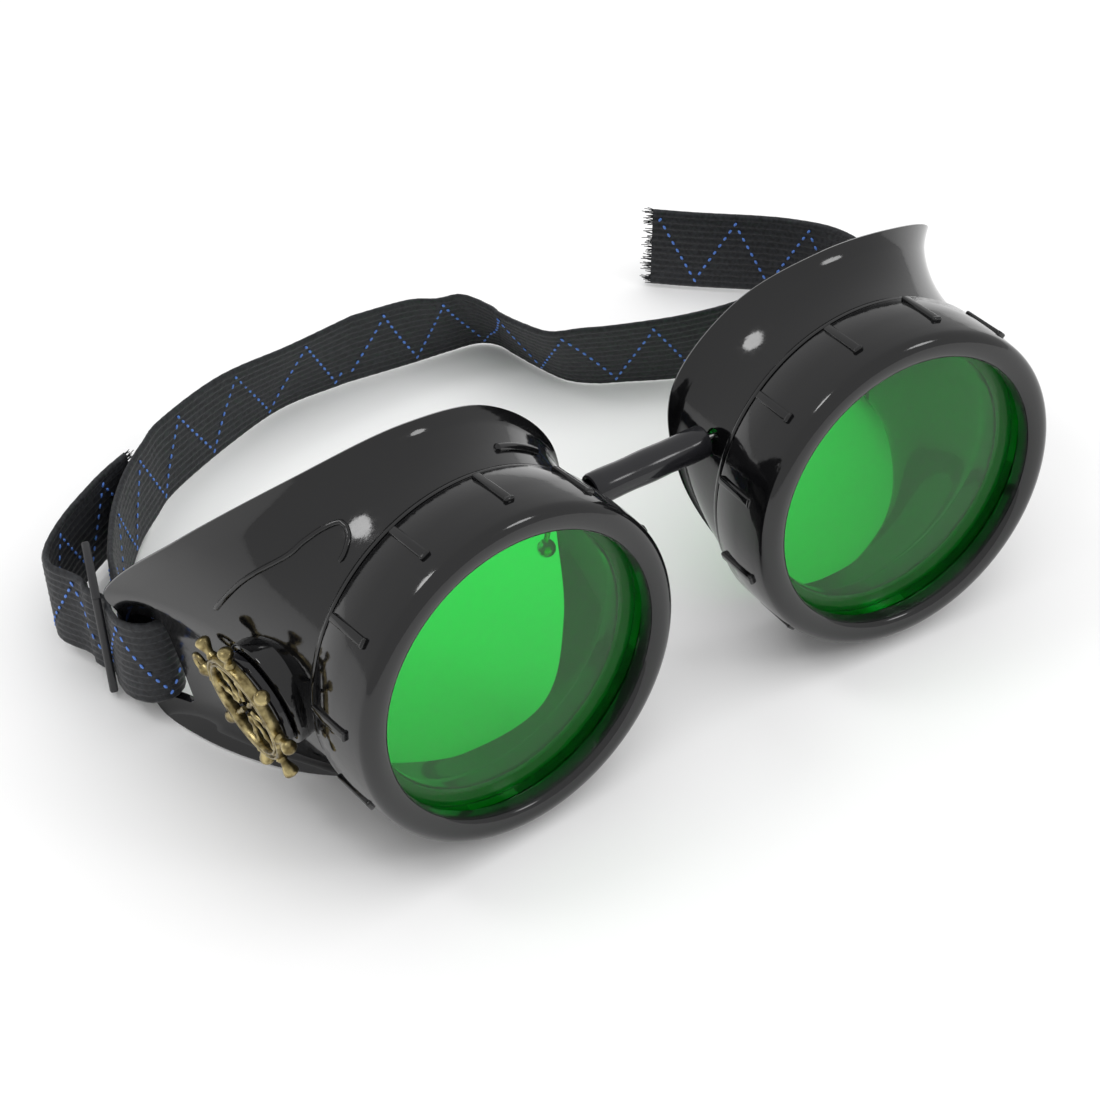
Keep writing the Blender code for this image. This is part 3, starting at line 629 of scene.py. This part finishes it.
def charm():
    world = cup_matrix(LEFT) @ mirror(LEFT) @ charm_turn()
    charm_button(world)
    ships_wheel(world)


# Strap and slides

def weave(side):
    """The strap's way through a slide, from the end away from the cup to the end beside it."""
    along = SLIDE_ALONG[side].normalized()
    out = Vector((side * abs(along.y), -abs(along.x), 0.0))
    points = [SLIDE_CENTRE[side] + s * along + offset * out for s, offset in WEAVE]
    return [Vector((p.x, p.y, WEAVE_HEIGHT)) for p in points]


def strap_places(route):
    """Along the strap: the run so far, the lower edge's place, the way out of the face, and the way up."""
    path = smooth_path([(*row, 0.0, 0.0)[:5] for row in route], STRAP_STEP)
    places, run = [], 0.0
    for k, row in enumerate(path):
        point, lean = Vector(row[:3]), Vector((row[3], row[4], 0.0))
        if places:
            run += (point - places[-1][1]).length
        ahead = Vector((path[min(k + 1, len(path) - 1)] - path[max(k - 1, 0)])[:3])
        up = lean + Vector((0.0, 0.0, math.sqrt(STRAP_WIDTH ** 2 - lean.length_squared)))
        places.append((run, point, ahead.cross(up).normalized(), up))
    return places


def ribbed_section(run, point, out, up):
    """The webbing's outline at one place: up its outer face and down its inner one."""
    across, half = WEB_RIBS * STEPS_PER_RIB, STRAP_THICKNESS / 2
    outline = []
    for face, steps in ((1, range(across + 1)), (-1, range(across, -1, -1))):
        for i in steps:
            edge = abs(2 * i / across - 1)
            groove = WEB_RIB_DEPTH * (0.5 + 0.5 * math.cos(2 * math.pi * i / STEPS_PER_RIB))
            bulge = half - groove - SELVEDGE_DEPTH * edge ** 14
            bulge += 0.03 * math.sin(run * 4.1 + (i // STEPS_PER_RIB) * 2.0)
            outline.append(point + face * out * bulge + up * (i / across))
    return outline


def add_thread(bm, places):
    """Dots of thread in a zigzag on both faces, as material 1."""
    spacing, index, count = LEG_LENGTH / DOTS_PER_LEG, 0, 1
    while count * spacing <= places[-1][0] - LAST_DOT:
        along = count * spacing
        while index + 1 < len(places) and places[index + 1][0] < along:
            index += 1
        run, point, out, up = places[index]
        ahead = places[min(index + 1, len(places) - 1)]
        t = (along - run) / max(1e-6, ahead[0] - run)
        point = point.lerp(ahead[1], min(1.0, max(0.0, t)))
        phase = (count / DOTS_PER_LEG) % 2.0
        rising = phase < 1
        share = phase if rising else 2 - phase
        height = (THREAD_MARGIN + (STRAP_WIDTH - 2 * THREAD_MARGIN) * share) / STRAP_WIDTH
        tilt = Matrix((up.cross(out).normalized(), up.normalized(), out)).transposed().to_4x4()
        slant = Matrix.Rotation(math.radians(DOT_SLANT if rising else -DOT_SLANT), 4, "Z")
        shape = slant @ Matrix.Diagonal((*DOT_SIZE, 1.0))
        for face in (1, -1):
            dot = bmesh.new()
            bmesh.ops.create_icosphere(dot, subdivisions=1, radius=1.0)
            for item in dot.faces:
                item.material_index = 1
            off_face = face * out * (STRAP_THICKNESS / 2 - DOT_SINK)
            add_to(bm, dot, Matrix.Translation(point + off_face + up * height) @ tilt @ shape)
        count += 1


def add_bar(bm, start, end, width, out):
    """A closed three-sided bar from start to end: one half of a loose fibre."""
    up = Vector((0, 0, FIBRE_HALF_WIDTH))
    side = out * FIBRE_HALF_WIDTH
    near, far = ([bm.verts.new(p + d * width) for d in (side, up, -side - up)] for p in (start, end))
    for i in range(3):
        j = (i + 1) % 3
        bm.faces.new((near[i], near[j], far[j], far[i]))
    bm.faces.new(reversed(near))
    bm.faces.new(far)


def add_fray(bm, place, tangent):
    """Loose fibres on a cut end of the strap."""
    _, point, out, _ = place
    for _ in range(FRAY_FIBRES):
        base = point + out * random.uniform(-0.5, 0.5)
        base += Vector((0, 0, random.uniform(0.3, STRAP_WIDTH - 0.3)))
        reach = random.uniform(0.5, 1.9)
        bend = Vector((random.uniform(-0.5, 0.5), random.uniform(-0.5, 0.5), random.uniform(-0.6, 0.6)))
        tip = base + tangent * reach + bend * reach * 0.6
        middle = base.lerp(tip, 0.5) + bend * 0.15
        add_bar(bm, base - tangent * FIBRE_ROOT, middle, 1.0, out)
        add_bar(bm, middle, tip, 0.7, out)


def strap_half(name, route, frayed_start):
    """Ribbed webbing with its zigzag thread, frayed at its start or its end. Its length is returned too."""
    places = strap_places(route)
    bm = lofted([ribbed_section(*place) for place in places], closed_rows=False, caps=True)
    add_thread(bm, places)
    end, beside = (places[0], places[1]) if frayed_start else (places[-1], places[-2])
    add_fray(bm, end, (end[1] - beside[1]).normalized())
    matrix = Matrix.Scale(MM, 4) @ Matrix.Translation(SHIFT)
    return piece(name, bm, matrix, [WEBBING, THREAD], WEBBING_SHARP_ANGLE), places[-1][0]


def straps():
    left = [*LEFT_END, *weave(LEFT), *LEFT_LOOP, *LEFT_MAIN]
    right = [*RIGHT_MAIN, *RIGHT_LOOP, *reversed(weave(RIGHT)), *FREE_END]
    for side, route, first in ((LEFT, left, "left_cup"), (RIGHT, right, "right_cup")):
        name = f"{NAMES[side]}_half_strap"
        made, length = strap_half(name, route, side == LEFT)
        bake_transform(made)
        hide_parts("elastic_strap")


def slides():
    for side in (LEFT, RIGHT):
        along = SLIDE_ALONG[side]
        turn = Matrix.Rotation(math.atan2(along.y, along.x), 4, "Z")
        world = Matrix.Scale(MM, 4) @ Matrix.Translation(SLIDE_CENTRE[side] + SHIFT) @ turn
        body = rounded_box(SLIDE_SIZE, SLIDE_FILLET)
        plate = piece(f"{NAMES[side]}_slide_plate", body, world, [SLIDE_LOOK])
        for x in (-SLIDE_SLOT_PLACE, SLIDE_SLOT_PLACE):
            hole = rounded_box(SLIDE_SLOT, SLIDE_SLOT_FILLET)
            tool = piece("tool", hole, world @ Matrix.Translation((x, 0, 0)), [SLIDE_LOOK])
            boolean(plate, tool, "DIFFERENCE")
        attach(plate, f"{NAMES[side]}_slide")
        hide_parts(f"{NAMES[side]}_strap_slide")


# Studio

def studio():
    world = bpy.data.worlds.new("studio")
    bpy.context.scene.world = world
    world.use_nodes = True
    world.node_tree.nodes["Background"].inputs["Color"].default_value = (1.0, 1.0, 1.0, 1.0)
    world.node_tree.nodes["Background"].inputs["Strength"].default_value = WORLD_STRENGTH
    bm = bmesh.new()
    bmesh.ops.create_grid(bm, x_segments=1, y_segments=1, size=FLOOR_HALF_SIZE)
    pale = node_material("pale floor", (0.93, 0.93, 0.93), 0.6)[0]
    floor = piece("floor", bm, Matrix.Scale(MM, 4), [pale])
    for name, (place, size, power) in LAMPS.items():
        lamp = bpy.data.lights.new(name, "AREA")
        lamp.shape, lamp.size, lamp.energy = "DISK", size, power
        made = bpy.data.objects.new(name, lamp)
        made.location = place
        made.rotation_euler = (-Vector(place)).to_track_quat("-Z", "Y").to_euler()
        # The broad top light isn't mirrored in glossy surfaces
        made.visible_glossy = name != "top"
        bpy.context.collection.objects.link(made)
    bpy.context.scene.view_settings.view_transform = "Standard"
    camera = bpy.data.cameras.new("photo view")
    camera.lens, camera.sensor_width = CAMERA_LENS, SENSOR_WIDTH
    camera.clip_start = 0.01
    made = bpy.data.objects.new("photo view", camera)
    made.location = (CAMERA_PLACE + SHIFT) * MM
    made.rotation_euler = (math.pi / 2 - CAMERA_PITCH_DOWN, 0.0, CAMERA_TURN)
    bpy.context.collection.objects.link(made)
    bpy.context.scene.camera = made


def keep_cad_looks():
    """The small hidden pieces stay as the CAD has them, with these looks."""
    for name, look in (("chain_link_wire", NICKEL), ("left_lens_gasket", FIBRE), ("right_lens_gasket", FIBRE),
                       *((f"chain_ball_{k}", NICKEL) for k in range(1, 8))):
        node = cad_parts[name]
        node.data.materials.clear()
        node.data.materials.append(look)


for cup_side in (LEFT, RIGHT):
    cup_shell(cup_side)
    ring(cup_side)
    lenses(cup_side)
bridge()
charm()
straps()
slides()
keep_cad_looks()
studio()
